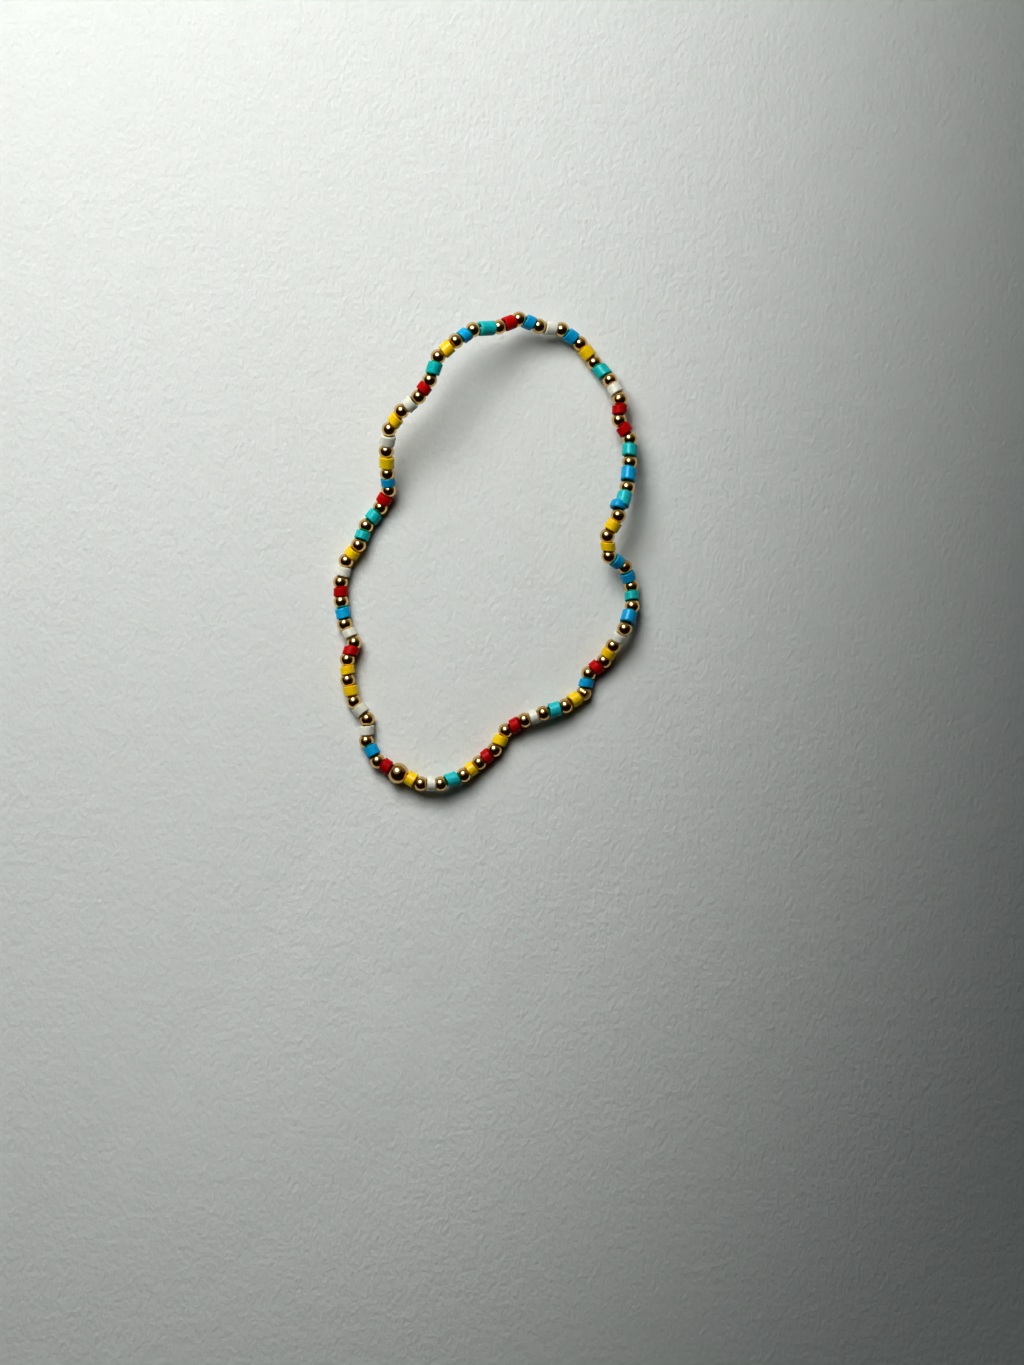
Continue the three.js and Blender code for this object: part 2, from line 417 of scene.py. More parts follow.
class BeadTree:
    """A geometry node tree that threads one shape of bead on every point of a string.

    The points carry turn, the bead's Euler angles, and stretch, its length against the shape's own.
    """

    name: str = "Beads"
    sizes: dict[str, str] = {}
    shared: dict[str, str] = {
        "Sides": COUNT,
        "Girth Spread": NUMBER,
        "Tilt": NUMBER,
        "Skew": NUMBER,
        "Roll": NUMBER,
        "Unevenness": NUMBER,
        "Seed": COUNT,
        "Material": MATERIAL,
    }
    rim_angle: float = math.radians(40)
    cloud_scale: float = 0.9
    cloud_step: float = 61.0
    slant_steps: dict[str, float] = {"X": 17.3, "Y": 29.9}

    def __init__(self) -> None:
        """Builds the tree."""
        self.tree = bpy.data.node_groups.new(self.name, "GeometryNodeTree")
        self.write = TreeWriter(self.tree)
        inputs = {"Geometry": GEOMETRY} | self.sizes | self.shared
        self.given = self.write.declare(inputs, {"Geometry": GEOMETRY})
        self._finish(self._thread(self._marked(self._shape())))

    def _shape(self) -> Socket:
        """Makes one bead around its own Z axis, and returns its mesh."""
        raise NotImplementedError

    def _relief(self, place: Socket) -> Socket | None:
        """Height of what stands out of the bead or is sunk into it, or None on a plain one."""
        return None

    def _turned(self, profile: Socket, radius: Any) -> Socket:
        """Sweeps a closed profile round the bead's axis.

        Args:
            profile: The profile, drawn about the circle that it runs on.
            radius: Radius of that circle.

        Returns:
            The mesh, smooth apart from its sharp rims.
        """
        write = self.write
        smooth = write.sweep(write.circle(self.given["Sides"], radius), profile)
        angle = write.get("GeometryNodeInputMeshEdgeAngle")
        rims = write.get("FunctionNodeCompare", {"A": angle, "B": self.rim_angle}, operation="GREATER_THAN")
        flat = {"Geometry": smooth, "Selection": rims, "Shade Smooth": False}
        return write.get("GeometryNodeSetShadeSmooth", flat, domain="EDGE")

    def _marked(self, bead: Socket) -> Socket:
        """Keeps each point's own place on the bead, in millimetres, for the finish to read."""
        place = self.write.scaled(self.write.get("GeometryNodeInputPosition"), 1 / MM)
        return self.write.store(bead, PLACE, place, data_type="FLOAT_VECTOR", domain="POINT")

    def _chance(self, low: Any, high: Any, step: int) -> Socket:
        """A random number for each bead.

        Args:
            low: Lowest value.
            high: Highest value.
            step: Added to the seed, so that the numbers of one bead differ.

        Returns:
            The number.
        """
        seed = self.write.math("ADD", self.given["Seed"], step)
        node = self.write.add("FunctionNodeRandomValue", {2: low, 3: high, "Seed": seed}, data_type="FLOAT")
        return node.outputs[1]

    def _named(self, name: str, data_type: str) -> Socket:
        """Reads a named attribute of the points."""
        return self.write.get("GeometryNodeInputNamedAttribute", {"Name": name}, data_type=data_type)

    def _thread(self, bead: Socket) -> Socket:
        """Puts a bead on every point, each a little different.

        Args:
            bead: The mesh of one bead.

        Returns:
            The realized beads.
        """
        write = self.write
        turn = write.rotation(self._named(TURN, "FLOAT_VECTOR"))
        slimmer = write.math("SUBTRACT", 1.0, self.given["Girth Spread"])
        fatter = write.math("ADD", 1.0, self.given["Girth Spread"])
        girth = self._chance(slimmer, fatter, 1)
        scale = write.combine(girth, girth, self._named(STRETCH, "FLOAT"))
        beads = write.get(
            "GeometryNodeInstanceOnPoints",
            {"Points": self.given["Geometry"], "Instance": bead, "Rotation": turn, "Scale": scale},
        )
        back = write.math("MULTIPLY", self.given["Tilt"], -1.0)
        tilt = [self._chance(back, self.given["Tilt"], step) for step in (2, 3)]
        roll = self._chance(0.0, self.given["Roll"], 4)
        wobble = write.rotation(write.combine(*tilt, roll))
        turned = write.get(
            "GeometryNodeRotateInstances", {"Instances": beads, "Rotation": wobble, "Local Space": True}
        )
        toned = write.store(turned, TONE, self._chance(0.0, 1.0, 5), data_type="FLOAT", domain="INSTANCE")
        return write.get("GeometryNodeRealizeInstances", {"Geometry": toned})

    def _finish(self, beads: Socket) -> None:
        """Gives the beads their relief, unevenness and material, and ends the tree.

        Args:
            beads: The realized beads.
        """
        write = self.write
        place = self._named(PLACE, "FLOAT_VECTOR")
        apart = write.math("MULTIPLY", self._named(TONE, "FLOAT"), self.cloud_step)
        cloud = write.noise(write.vector("ADD", place, write.combine(apart, apart, apart)), self.cloud_scale)
        height = write.math("MULTIPLY", write.math("SUBTRACT", cloud, 0.5), self.given["Unevenness"])
        relief = self._relief(place)
        if relief is not None:
            height = write.math("ADD", height, relief)
        outwards = write.scaled(write.get("GeometryNodeInputNormal"), height)
        offset = write.vector("ADD", outwards, self._slant(place))
        moved = write.get("GeometryNodeSetPosition", {"Geometry": beads, "Offset": offset})
        write.end(moved, self.given["Material"])

    def _slant(self, place: Socket) -> Socket:
        """Shifts that cut each bead's ends a little out of square, differently on every bead.

        Args:
            place: The points' own places on their beads.

        Returns:
            The shift of each point, along its bead.
        """
        write = self.write
        tone = self._named(TONE, "FLOAT")
        axes = write.add("ShaderNodeSeparateXYZ", {"Vector": place}).outputs
        shares = []
        for axis, step in self.slant_steps.items():
            chance = write.math("SUBTRACT", write.math("FRACT", write.math("MULTIPLY", tone, step)), 0.5)
            shares.append(write.math("MULTIPLY", axes[axis], chance))
        lean = write.math("MULTIPLY", write.math("ADD", *shares), self.given["Skew"])
        turn = write.rotation(self._named(TURN, "FLOAT_VECTOR"))
        along = write.get("FunctionNodeRotateVector", {"Vector": UP, "Rotation": turn})
        return write.scaled(along, write.math("MULTIPLY", lean, MM))

    def grow(
        self, name: str, places: list[BeadPlace], shape_length: float, values: dict[str, Any]
    ) -> bpy.types.Object:
        """Runs the tree on some places and keeps the result as a plain mesh.

        Args:
            name: Name of the new object.
            places: Where its beads sit.
            shape_length: Length of the tree's own bead, which each place stretches to its length.
            values: Input name to value.

        Returns:
            The object, with no modifier left on it.
        """
        mesh = bpy.data.meshes.new(name)
        mesh.from_pydata([place.centre for place in places], [], [])
        turns = [angle for place in places for angle in place.turn()]
        mesh.attributes.new(TURN, "FLOAT_VECTOR", "POINT").data.foreach_set("vector", turns)
        stretches = [place.length / shape_length for place in places]
        mesh.attributes.new(STRETCH, "FLOAT", "POINT").data.foreach_set("value", stretches)
        return run_tree(name, mesh, self.tree, values)


class BallTree(BeadTree):
    """Drilled balls, which may be fluted from end to end or have an open seam."""

    name: str = "Drilled balls"
    sizes: dict[str, str] = {
        "Radius": NUMBER,
        "Bore Radius": NUMBER,
        "Rings": COUNT,
        "Flutes": NUMBER,
        "Flute Depth": NUMBER,
        "Seam Angle": NUMBER,
        "Seam Lean": NUMBER,
        "Seam Width": NUMBER,
        "Seam Depth": NUMBER,
    }

    def _shape(self) -> Socket:
        """Turns an arc that is closed along the bore.

        Returns:
            The ball's mesh.
        """
        write = self.write
        radius = self.given["Radius"]
        mouth = write.math("ARCSINE", write.math("DIVIDE", self.given["Bore Radius"], radius))
        arc = write.get(
            "GeometryNodeCurveArc",
            {
                "Resolution": self.given["Rings"],
                "Radius": radius,
                "Start Angle": write.math("SUBTRACT", mouth, math.pi / 2),
                "Sweep Angle": write.math("SUBTRACT", math.pi, write.math("MULTIPLY", mouth, 2.0)),
            },
        )
        closed = write.get("GeometryNodeSetSplineCyclic", {"Geometry": arc, "Cyclic": True})
        inwards = write.combine(write.math("MULTIPLY", radius, -1.0), 0.0, 0.0)
        profile = write.get("GeometryNodeTransform", {"Geometry": closed, "Translation": inwards})
        return self._turned(profile, radius)

    def _relief(self, place: Socket) -> Socket:
        """Sinks the valleys between the flutes and the seam, both of which run from bore to bore.

        Args:
            place: The points' own places on their beads.

        Returns:
            The height of each point.
        """
        write = self.write
        axes = write.add("ShaderNodeSeparateXYZ", {"Vector": place}).outputs
        around = write.math("ARCTAN2", axes["Y"], axes["X"])
        half_turns = write.math("MULTIPLY", write.math("MULTIPLY", around, self.given["Flutes"]), 0.5)
        ridge = write.math("ABSOLUTE", write.math("SINE", half_turns))
        flutes = write.math("MULTIPLY", write.math("SUBTRACT", ridge, 1.0), self.given["Flute Depth"])
        leaning = write.math("ADD", around, write.math("MULTIPLY", axes["Z"], self.given["Seam Lean"]))
        away = write.math("ABSOLUTE", write.math("SUBTRACT", leaning, self.given["Seam Angle"]))
        groove = write.ramp(away, (0.0, self.given["Seam Width"]), 1.0, 0.0)
        seam = write.math("MULTIPLY", groove, self.given["Seam Depth"])
        return write.math("SUBTRACT", flutes, seam)


class CylinderTree(BeadTree):
    """Drilled cylinders with rounded rims, or rondelles where the rims are rounded over."""

    name: str = "Drilled cylinders"
    edge_points: int = 8
    sizes: dict[str, str] = {
        "Radius": NUMBER,
        "Bore Radius": NUMBER,
        "Length": NUMBER,
        "Edge Radius": NUMBER,
        "Profile Points": COUNT,
    }

    def _shape(self) -> Socket:
        """Turns a rounded rectangle, the bead's wall.

        Returns:
            The bead's mesh.
        """
        write = self.write
        radius = self.given["Radius"]
        bore = self.given["Bore Radius"]
        wall = write.get(
            "GeometryNodeCurvePrimitiveQuadrilateral",
            {"Width": write.math("SUBTRACT", radius, bore), "Height": self.given["Length"]},
        )
        edge = {"Count": self.edge_points, "Radius": self.given["Edge Radius"], "Limit Radius": True}
        rounded = write.get("GeometryNodeFilletCurve", {"Curve": wall} | edge, mode="POLY")
        points = {"Curve": rounded, "Count": self.given["Profile Points"]}
        middle = write.math("MULTIPLY", write.math("ADD", radius, bore), 0.5)
        return self._turned(write.get("GeometryNodeResampleCurve", points), middle)


class ElasticTree:
    """A geometry node tree that draws a round elastic along the string, rounding its kinks."""

    kink_points: int = 4

    def __init__(self) -> None:
        """Builds the tree."""
        self.tree = bpy.data.node_groups.new("Elastic", "GeometryNodeTree")
        write = TreeWriter(self.tree)
        inputs = {"Geometry": GEOMETRY, "Radius": NUMBER, "Kink Radius": NUMBER, "Sides": COUNT}
        given = write.declare(inputs | {"Material": MATERIAL}, {"Geometry": GEOMETRY})
        line = write.get("GeometryNodeMeshToCurve", {"Mesh": given["Geometry"]})
        kink = {"Count": self.kink_points, "Radius": given["Kink Radius"], "Limit Radius": True}
        eased = write.get("GeometryNodeFilletCurve", {"Curve": line} | kink, mode="POLY")
        tube = write.sweep(eased, write.circle(given["Sides"], given["Radius"]))
        write.end(write.get("GeometryNodeRealizeInstances", {"Geometry": tube}), given["Material"])


def run_tree(
    name: str, mesh: bpy.types.Mesh, tree: bpy.types.GeometryNodeTree, values: dict[str, Any]
) -> bpy.types.Object:
    """Runs a geometry node tree on a mesh and keeps the result as a plain mesh.

    Args:
        name: Name of the new object.
        mesh: What the tree starts from.
        tree: The tree.
        values: Input name to value.

    Returns:
        The object, with no modifier left on it.
    """
    piece = bpy.data.objects.new(name, mesh)
    bpy.context.scene.collection.objects.link(piece)
    modifier = piece.modifiers.new(tree.name, "NODES")
    modifier.node_group = tree
    for item in tree.interface.items_tree:
        if item.in_out == "INPUT" and item.name in values:
            modifier[item.identifier] = values[item.name]
    depsgraph = bpy.context.evaluated_depsgraph_get()
    made = bpy.data.meshes.new_from_object(
        piece.evaluated_get(depsgraph), preserve_all_data_layers=True, depsgraph=depsgraph
    )
    piece.modifiers.remove(modifier)
    piece.data = made
    made.name = name
    bpy.data.meshes.remove(mesh)
    return piece


def new_group(name: str, inputs: dict[str, str], outputs: dict[str, str]) -> tuple[TreeWriter, Any]:
    """Starts a shader node group.

    Args:
        name: Name of the group.
        inputs: Input name to socket type.
        outputs: Output name to socket type.

    Returns:
        A writer for the group, and its inputs.
    """
    write = TreeWriter(bpy.data.node_groups.new(name, "ShaderNodeTree"))
    return write, write.declare(inputs, outputs)


class ShaderEffects:
    """The effects that the finishes share, each a shader node group built once."""

    place_step: float = 83.0
    middling: Span = (0.3, 0.7)
    deepened: float = 0.5
    lifted: float = 0.6
    fine_share: float = 0.6
    streak_share: float = 0.4
    streak_reach: Triple = (1.0, 1.0, 0.08)
    patch_scale: float = 1.7

    def __init__(self) -> None:
        """Builds the groups."""
        self.clouded = self._clouded()
        self.grain = self._grain()

    def _bead_place(self, write: TreeWriter) -> tuple[Socket, Socket]:
        """Reads the place on the bead, moved so that no two beads match, and the bead's own tone.

        Args:
            write: The writer of the group.

        Returns:
            The place and the tone.
        """
        place = write.add("ShaderNodeAttribute", attribute_name=PLACE).outputs["Vector"]
        tone = write.add("ShaderNodeAttribute", attribute_name=TONE).outputs["Fac"]
        apart = write.math("MULTIPLY", tone, self.place_step)
        return write.vector("ADD", place, write.combine(apart, apart, apart)), tone

    def _clouded(self) -> bpy.types.NodeTree:
        """Colour that drifts over a bead, and a little from bead to bead.

        Returns:
            The group.
        """
        inputs = {"Body": COLOUR, "Deep": COLOUR, "Pale": COLOUR, "Cloud Scale": NUMBER}
        write, given = new_group("Clouded colour", inputs, {"Colour": COLOUR})
        place, tone = self._bead_place(write)
        cloud = write.ramp(write.noise(place, given["Cloud Scale"], detail=3.0), self.middling)
        deep = write.mix_colour(write.math("MULTIPLY", cloud, self.deepened), given["Body"], given["Deep"])
        share = write.math("MULTIPLY", tone, self.lifted)
        write.add("NodeGroupOutput", {"Colour": write.mix_colour(share, deep, given["Pale"])})
        return write.tree

    def _grain(self) -> bpy.types.NodeTree:
        """Fine grain with faint streaks along the bead, as a height and as a change of roughness.

        Returns:
            The group.
        """
        inputs = {"Grain Scale": NUMBER, "Streak Scale": NUMBER, "Smoothest": NUMBER, "Roughest": NUMBER}
        write, given = new_group("Surface grain", inputs, {"Height": NUMBER, "Roughness": NUMBER})
        place, _ = self._bead_place(write)
        fine = write.noise(place, given["Grain Scale"], detail=3.0)
        drawn = write.vector("MULTIPLY", place, self.streak_reach)
        streaks = write.noise(drawn, given["Streak Scale"])
        fine_height = write.math("MULTIPLY", fine, self.fine_share)
        height = write.math("ADD", fine_height, write.math("MULTIPLY", streaks, self.streak_share))
        patches = write.noise(place, self.patch_scale, detail=3.0)
        rough = write.ramp(patches, self.middling, given["Smoothest"], given["Roughest"])
        write.add("NodeGroupOutput", {"Height": height, "Roughness": rough})
        return write.tree


def start_material(name: str) -> tuple[bpy.types.Material, TreeWriter, bpy.types.Node]:
    """Starts a material.

    Args:
        name: Name of the material.

    Returns:
        The material, a writer for its nodes and its Principled shader.
    """
    material = bpy.data.materials.new(name)
    material.use_nodes = True
    shader = material.node_tree.nodes["Principled BSDF"]
    return material, TreeWriter(material.node_tree), shader


@dataclass(frozen=True)
class BeadSurface:
    """How finely a bead's colour drifts and its surface is grained, and how strong and deep the grain is."""

    cloud_scale: float
    grain_scale: float
    streak_scale: float
    strength: float
    depth: float


@dataclass(frozen=True)
class BeadFinish:
    """A finish whose colour drifts from body to deep, paler on some beads, over a faint grain."""

    name: str
    body: Colour
    deep: Colour
    pale: Colour
    smoothest: float
    roughest: float
    surface: BeadSurface

    def build(self, effects: ShaderEffects) -> bpy.types.Material:
        """Builds the material.

        Args:
            effects: The shared effects.

        Returns:
            The material.
        """
        material, write, shader = start_material(self.name)
        surface = self.surface
        colours = {"Body": self.body, "Deep": self.deep, "Pale": self.pale}
        colours["Cloud Scale"] = surface.cloud_scale
        colour = write.get("ShaderNodeGroup", colours, node_tree=effects.clouded)
        scales = {"Grain Scale": surface.grain_scale, "Streak Scale": surface.streak_scale}
        ends = {"Smoothest": self.smoothest, "Roughest": self.roughest}
        grain = write.add("ShaderNodeGroup", scales | ends, node_tree=effects.grain).outputs
        relief = {"Height": grain["Height"], "Strength": surface.strength, "Distance": surface.depth}
        normal = write.get("ShaderNodeBump", relief)
        write.feed(shader, {"Base Color": colour, "Roughness": grain["Roughness"], "Normal": normal})
        write.feed(shader, self._own_values())
        return material

    def _own_values(self) -> dict[str, Any]:
        """The Principled shader's inputs that are particular to the finish."""
        raise NotImplementedError


@dataclass(frozen=True)
class GlassFinish(BeadFinish):
    """Satin opaque glass of one colour."""

    smoothest: float = 0.22
    roughest: float = 0.36
    surface: BeadSurface = BeadSurface(
        cloud_scale=1.1, grain_scale=11.0, streak_scale=9.0, strength=0.5, depth=0.012 * MM
    )
    shine: float = 0.45
    glow: float = 0.12
    glow_radius: Triple = (0.2, 0.2, 0.2)
    glow_scale: float = 1.0 * MM

    def _own_values(self) -> dict[str, Any]:
        """A little light in the glass, and its shine."""
        light = {"Subsurface Weight": self.glow, "Subsurface Radius": self.glow_radius}
        return light | {"Subsurface Scale": self.glow_scale, "Specular IOR Level": self.shine}


@dataclass(frozen=True)
class GoldFinish(BeadFinish):
    """Polished gold with the faint marks of wear."""

    name: str = "polished_gold"
    body: Colour = (0.78, 0.53, 0.225, 1.0)
    deep: Colour = (0.64, 0.40, 0.15, 1.0)
    pale: Colour = (0.87, 0.63, 0.30, 1.0)
    smoothest: float = 0.06
    roughest: float = 0.12
    surface: BeadSurface = BeadSurface(
        cloud_scale=0.8, grain_scale=6.0, streak_scale=14.0, strength=0.25, depth=0.004 * MM
    )

    def _own_values(self) -> dict[str, Any]:
        """It is metal."""
        return {"Metallic": 1.0}


@dataclass(frozen=True)
class ElasticFinish:
    """Milky stretch cord."""

    name: str = "stretch_cord"
    thin: Colour = (0.72, 0.72, 0.68, 1.0)
    thick: Colour = (0.84, 0.84, 0.80, 1.0)
    cloud_scale: float = 900.0
    roughness: float = 0.45

    def build(self) -> bpy.types.Material:
        """Builds the material.

        Returns:
            The material.
        """
        material, write, shader = start_material(self.name)
        place = write.add("ShaderNodeTexCoord").outputs["Object"]
        cloud = write.noise(place, self.cloud_scale)
        colour = write.mix_colour(cloud, self.thin, self.thick)
        write.feed(shader, {"Base Color": colour, "Roughness": self.roughness})
        return material


@dataclass(frozen=True)
class PaperFinish:
    """The pale, faintly fibrous floor."""

    name: str = "pale_floor"
    body: Colour = (0.80, 0.815, 0.785, 1.0)
    fleck: Colour = (0.76, 0.775, 0.745, 1.0)
    mottle_scale: float = 240.0
    fibre_scale: float = 1500.0
    fibre_reach: Triple = (1.0, 0.7, 1.0)
    dimple_scale: float = 420.0
    dimple_share: float = 0.7
    relief: float = 0.17 * MM
    roughness: float = 0.85
    shine: float = 0.2

    def build(self) -> bpy.types.Material:
        """Builds the material.

        Returns:
            The material.
        """
        material, write, shader = start_material(self.name)
        place = write.add("ShaderNodeTexCoord").outputs["Object"]
        mottle = write.noise(place, self.mottle_scale, detail=4.0)
        colour = write.mix_colour(mottle, self.body, self.fleck)
        fibres = write.noise(write.vector("MULTIPLY", place, self.fibre_reach), self.fibre_scale, detail=4.0)
        dimples = write.noise(place, self.dimple_scale)
        height = write.math("ADD", fibres, write.math("MULTIPLY", dimples, self.dimple_share))
        normal = write.get("ShaderNodeBump", {"Height": height, "Strength": 1.0, "Distance": self.relief})
        write.feed(shader, {"Base Color": colour, "Normal": normal})
        write.feed(shader, {"Roughness": self.roughness, "Specular IOR Level": self.shine})
        return material


class GlassColour(Enum):
    """The finishes of the coloured beads."""

    RED = GlassFinish(
        "red_glass",
        (0.53, 0.0, 0.0, 1.0),
        (0.35, 0.0, 0.0, 1.0),
        (0.62, 0.002, 0.002, 1.0),
        smoothest=0.3,
        roughest=0.46,
        shine=0.25,
    )
    YELLOW = GlassFinish(
        "yellow_glass", (0.97, 0.645, 0.0, 1.0), (0.86, 0.50, 0.0, 1.0), (0.98, 0.73, 0.005, 1.0)
    )
    WHITE = GlassFinish(
        "white_glass",
        (0.77, 0.77, 0.65, 1.0),
        (0.64, 0.63, 0.51, 1.0),
        (0.84, 0.84, 0.75, 1.0),
        smoothest=0.16,
        roughest=0.32,
        glow=0.5,
        glow_radius=(0.8, 0.8, 0.75),
    )
    BLUE = GlassFinish(
        "blue_glass", (0.0, 0.41, 0.70, 1.0), (0.0, 0.30, 0.58, 1.0), (0.005, 0.47, 0.77, 1.0)
    )
    TURQUOISE = GlassFinish(
        "turquoise_glass", (0.005, 0.545, 0.515, 1.0), (0.0, 0.42, 0.42, 1.0), (0.04, 0.58, 0.64, 1.0)
    )


def dress(piece: bpy.types.Object, slot: str, *nodes: str) -> None:
    """Makes a finished piece part of the object.

    Args:
        piece: The piece.
        slot: The record's material slot that its finish belongs to; not used.
        *nodes: The nodes that it stands for.
    """
    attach(piece, BODY)
    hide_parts(*nodes)
    LOG.info("%s: %d faces", piece.name, len(piece.data.polygons))


@dataclass
class GoldBalls:
    """The small gold balls, two of them unlike the rest, and the large one."""

    string: BeadString
    bore_radius: float = 0.42 * MM
    large_bore_radius: float = 0.504 * MM
    seed: int = 11

    def build(self, tree: BallTree, gold: bpy.types.Material) -> None:
        """Builds the balls.

        Args:
            tree: The tree that makes drilled balls.
            gold: Their material.
        """
        sizes = self.string.sizes
        plain = {
            "Radius": sizes.ball_radius,
            "Bore Radius": self.bore_radius,
            "Sides": 40,
            "Rings": 28,
            "Girth Spread": 0.015,
            "Roll": math.tau,
            "Unevenness": 0.012 * MM,
            "Seed": self.seed,
            "Material": gold,
            "Seam Width": 0.1,
        }
        fluted = plain | {"Sides": 160, "Rings": 40, "Flutes": 20.0, "Flute Depth": 0.045 * MM, "Roll": 0.0}
        seamed = plain | {"Sides": 200, "Rings": 60, "Seam Depth": 0.12 * MM, "Roll": 0.0}
        seamed |= {"Seam Angle": 0.35, "Seam Lean": 0.7}
        large = plain | {"Radius": sizes.large_ball_radius, "Sides": 72, "Rings": 48}
        large |= {"Bore Radius": self.large_bore_radius, "Unevenness": 0.016 * MM}
        self._add(tree, "gold_balls", BeadKind.BALL, plain, *STRANDS)
        self._add(tree, "fluted_gold_ball", BeadKind.FLUTED_BALL, fluted, *STRANDS)
        self._add(tree, "seamed_gold_ball", BeadKind.SEAMED_BALL, seamed, *STRANDS)
        self._add(tree, "large_gold_ball", BeadKind.LARGE_BALL, large, LARGE_BALL_NODE)

    def _add(self, tree: BallTree, name: str, kind: BeadKind, values: dict[str, Any], *nodes: str) -> None:
        """Grows the balls of a kind and makes them part of the object.

        Args:
            tree: The tree that makes drilled balls.
            name: Name of the piece.
            kind: Which balls.
            values: The tree's inputs.
            *nodes: The nodes that the piece stands for.
        """
        places = self.string.of_kind(kind)
        dress(tree.grow(name, places, places[0].length, values), "gold", *nodes)


@dataclass
class ColouredBeads:
    """The glass cylinders of every colour, and the rondelle."""

    string: BeadString
    length: float = 1.6 * MM
    edge_radius: float = 0.13 * MM
    rondelle_edge_radius: float = 0.3 * MM
    tilt: float = math.radians(4)
    rondelle_tilt: float = math.radians(5)
    skew: float = 0.3
    seed: int = 41
    seed_step: int = 10

    def build(self, tree: CylinderTree, effects: ShaderEffects) -> None:
        """Builds the beads.

        Args:
            tree: The tree that makes drilled cylinders.
            effects: The shared effects of the finishes.
        """
        sizes = self.string.sizes
        shape = {
            "Radius": sizes.cylinder_radius,
            "Bore Radius": sizes.bore_radius,
            "Length": self.length,
            "Edge Radius": self.edge_radius,
            "Profile Points": 44,
            "Sides": 36,
            "Girth Spread": 0.025,
            "Tilt": self.tilt,
            "Skew": self.skew,
            "Roll": math.tau,
            "Unevenness": 0.05 * MM,
        }
        glass = {colour: colour.value.build(effects) for colour in GlassColour}
        for step, colour in enumerate(GlassColour):
            word = colour.name.lower()
            values = shape | {"Seed": self.seed + self.seed_step * step, "Material": glass[colour]}
            places = self.string.of_kind(BeadKind[colour.name])
            dress(tree.grow(f"{word}_cylinders", places, self.length, values), f"{word}_bead", *STRANDS)
        rondelle = shape | {
            "Radius": sizes.rondelle_radius,
            "Length": sizes.rondelle_length,
            "Edge Radius": self.rondelle_edge_radius,
            "Tilt": self.rondelle_tilt,
            "Seed": self.seed,
            "Material": glass[GlassColour.BLUE],
        }
        places = self.string.of_kind(BeadKind.RONDELLE)
        dress(tree.grow("blue_rondelle", places, sizes.rondelle_length, rondelle), "blue_bead", *STRANDS)


@dataclass
class Elastic:
    """The elastic inside the beads, from ball to ball all the way round."""

    string: BeadString
    radius: float = 0.28 * MM
    kink_radius: float = 0.8 * MM
    sides: int = 10

    def build(self, tree: ElasticTree, cord: bpy.types.Material) -> None:
        """Builds the elastic.

        Args:
            tree: The tree that draws it.
            cord: Its material.
        """
        centres = [bead.centre for bead in self.string.beads if bead.kind.is_ball]
        mesh = bpy.data.meshes.new("elastic_line")
        mesh.from_pydata(centres, [(index, (index + 1) % len(centres)) for index in range(len(centres))], [])
        values = {"Radius": self.radius, "Kink Radius": self.kink_radius, "Sides": self.sides}
        values["Material"] = cord
        dress(run_tree("elastic", mesh, tree.tree, values), "elastic", *STRANDS)


def place_light(light: bpy.types.Light, place: Vector, target: Vector) -> bpy.types.Object:
    """Puts a light somewhere and points it.

    Args:
        light: The light.
        place: Where it is.
        target: What it points at.

    Returns:
        The light's object.
    """
    lamp = bpy.data.objects.new(light.name, light)
    lamp.location = place
    lamp.rotation_euler = (target - place).to_track_quat("-Z", "Y").to_euler()
    lamp.visible_camera = False
    bpy.context.scene.collection.objects.link(lamp)
    return lamp


@dataclass(frozen=True)
class SpotLamp:
    """A round lamp that throws a cone of light on the floor, and isn't mirrored itself."""

    cone: float
    blend: float
    radius: float
    energy: float
    target: Triple

    def build(self, name: str, place: Vector) -> None:
        """Hangs the lamp.

        Args:
            name: Name of the lamp.
            place: Where it hangs.
        """
        light = bpy.data.lights.new(name, "SPOT")
        light.spot_size = self.cone
        light.spot_blend = self.blend
        light.shadow_soft_size = self.radius
        light.energy = self.energy
        place_light(light, place, Vector(self.target)).visible_glossy = False


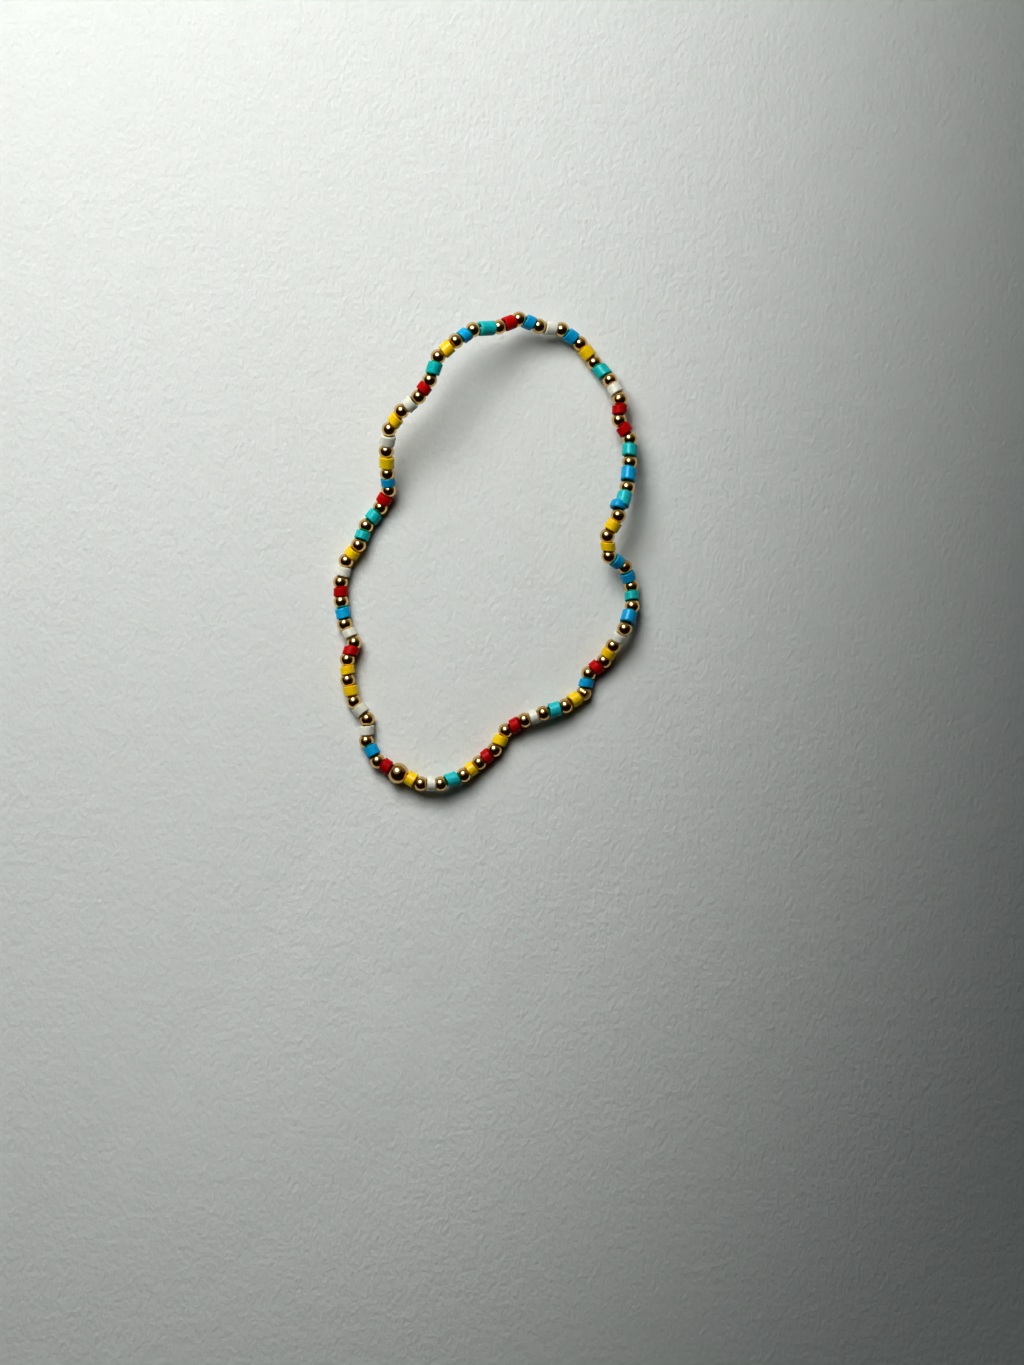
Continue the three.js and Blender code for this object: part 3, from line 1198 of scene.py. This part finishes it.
@dataclass(frozen=True)
class Lighting:
    """A cluster of seven lamps at the upper left, a beam from its middle, a shine and weak even light."""

    place: Triple = (-0.080, 0.167, 0.218)
    ring_count: int = 6
    ring_radius: float = 0.07
    cluster: SpotLamp = SpotLamp(
        cone=math.radians(101.0), blend=0.057, radius=0.042, energy=2.07 / 7, target=(-0.155, 0.121, 0.0)
    )
    beam: SpotLamp = SpotLamp(
        cone=math.radians(26.0), blend=1.0, radius=0.07, energy=1.05, target=(-0.014, -0.067, 0.0)
    )
    shine_place: Triple = (-0.080, 0.154, 0.228)
    shine_size: Span = (0.16, 0.20)
    shine_energy: float = 0.4
    shine_colour: Triple = (0.9, 0.95, 1.2)
    sky_angle: float = math.radians(55)
    sky_energy: float = 0.4
    sky_colour: Triple = (0.93, 1.0, 1.0)

    def build(self) -> None:
        """Hangs the lamps."""
        middle = Vector((0.0, 0.0, 0.0))
        place = Vector(self.place)
        facing = (middle - place).to_track_quat("-Z", "Y")
        self.cluster.build("lamp_0", place)
        for step in range(1, self.ring_count + 1):
            turn = math.tau * step / self.ring_count
            aside = Vector((math.cos(turn), math.sin(turn), 0.0)) * self.ring_radius
            self.cluster.build(f"lamp_{step}", place + facing @ aside)
        self.beam.build("lamp_beam", place)
        shine = bpy.data.lights.new("lamp_shine", "AREA")
        shine.shape = "ELLIPSE"
        shine.size, shine.size_y = self.shine_size
        shine.energy = self.shine_energy
        shine.color = self.shine_colour
        place_light(shine, Vector(self.shine_place), middle).visible_diffuse = False
        sky = bpy.data.lights.new("sky", "SUN")
        sky.angle = self.sky_angle
        sky.energy = self.sky_energy
        sky.color = self.sky_colour
        place_light(sky, place, middle).visible_glossy = False


@dataclass(frozen=True)
class Room:
    """A dim room for the gold to mirror, lighter beyond the lamps, with a soft glow round them."""

    beyond: Triple = (0.1, 0.99, 0.0)
    lamps: Triple = (-0.281, 0.539, 0.794)
    dark_side: Colour = (0.026, 0.015, 0.007, 1.0)
    lit_side: Colour = (0.22, 0.19, 0.16, 1.0)
    overhead: Colour = (0.012, 0.008, 0.006, 1.0)
    glow: Colour = (0.44, 0.42, 0.40, 1.0)
    side_span: Span = (0.0, 0.9)
    height_span: Span = (0.25, 0.95)
    glow_span: Span = (0.67, 1.0)

    def build(self) -> None:
        """Makes the room the scene's world."""
        world = bpy.data.worlds.new("dim_room")
        bpy.context.scene.world = world
        world.use_nodes = True
        world.cycles_visibility.diffuse = False
        write = TreeWriter(world.node_tree)
        direction = write.add("ShaderNodeTexCoord").outputs["Generated"]
        height = write.add("ShaderNodeSeparateXYZ", {"Vector": direction}).outputs["Z"]
        lit = write.ramp(write.dot(direction, self.beyond), self.side_span)
        side = write.mix_colour(lit, self.dark_side, self.lit_side)
        room = write.mix_colour(write.ramp(height, self.height_span), side, self.overhead)
        near = write.ramp(write.dot(direction, self.lamps), self.glow_span)
        colour = write.mix_colour(near, room, self.glow)
        write.feed(write.tree.nodes["Background"], {"Color": colour})


@dataclass
class Studio:
    """The floor, the light and the camera."""

    offset: Vector
    bead_height: float = 1.08 * MM
    floor_half: float = 4.0
    lens_mm: float = 80.0
    sensor_mm: float = 36.0
    nearest: float = 0.005

    def build(self) -> None:
        """Sets up everything around the object."""
        self._floor()
        Lighting().build()
        Room().build()
        self._camera()

    def _floor(self) -> None:
        """Lays the floor that the bracelet rests on."""
        half = self.floor_half
        corners = [(-half, -half, 0), (half, -half, 0), (half, half, 0), (-half, half, 0)]
        mesh = bpy.data.meshes.new("floor")
        mesh.from_pydata(corners, [], [(0, 1, 2, 3)])
        floor = bpy.data.objects.new("floor", mesh)
        bpy.context.scene.collection.objects.link(floor)
        mesh.materials.append(PaperFinish().build())

    def _camera(self) -> None:
        """Puts the camera straight above the middle of the photograph's frame."""
        camera = bpy.data.cameras.new("camera")
        camera.lens = self.lens_mm
        camera.sensor_width = self.sensor_mm
        camera.clip_start = self.nearest
        eye = bpy.data.objects.new("camera", camera)
        distance = self.lens_mm / self.sensor_mm * PHOTO_HEIGHT * METRES_PER_PIXEL
        across = (PHOTO_WIDTH / 2 - LOOP_MIDDLE_PX[0]) * METRES_PER_PIXEL
        down = (PHOTO_HEIGHT / 2 - LOOP_MIDDLE_PX[1]) * METRES_PER_PIXEL
        eye.location = Vector((self.offset.x + across, self.offset.y - down, distance + self.bead_height))
        bpy.context.scene.collection.objects.link(eye)
        bpy.context.scene.camera = eye


def main() -> None:
    """Builds the bracelet's looks, its floor, light and camera."""
    logging.basicConfig(level=logging.INFO, format="%(name)s: %(message)s")
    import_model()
    low, high = (Vector(corner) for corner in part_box(LARGE_BALL_NODE))
    string = BeadString(BeadSizes(), STRETCHES, (low + high) / 2)
    effects = ShaderEffects()
    GoldBalls(string).build(BallTree(), GoldFinish().build(effects))
    ColouredBeads(string).build(CylinderTree(), effects)
    Elastic(string).build(ElasticTree(), ElasticFinish().build())
    Studio(string.offset).build()
    bpy.context.scene.view_settings.view_transform = "Standard"
    bpy.context.scene.view_settings.look = "High Contrast"


if __name__ == "__main__":
    main()
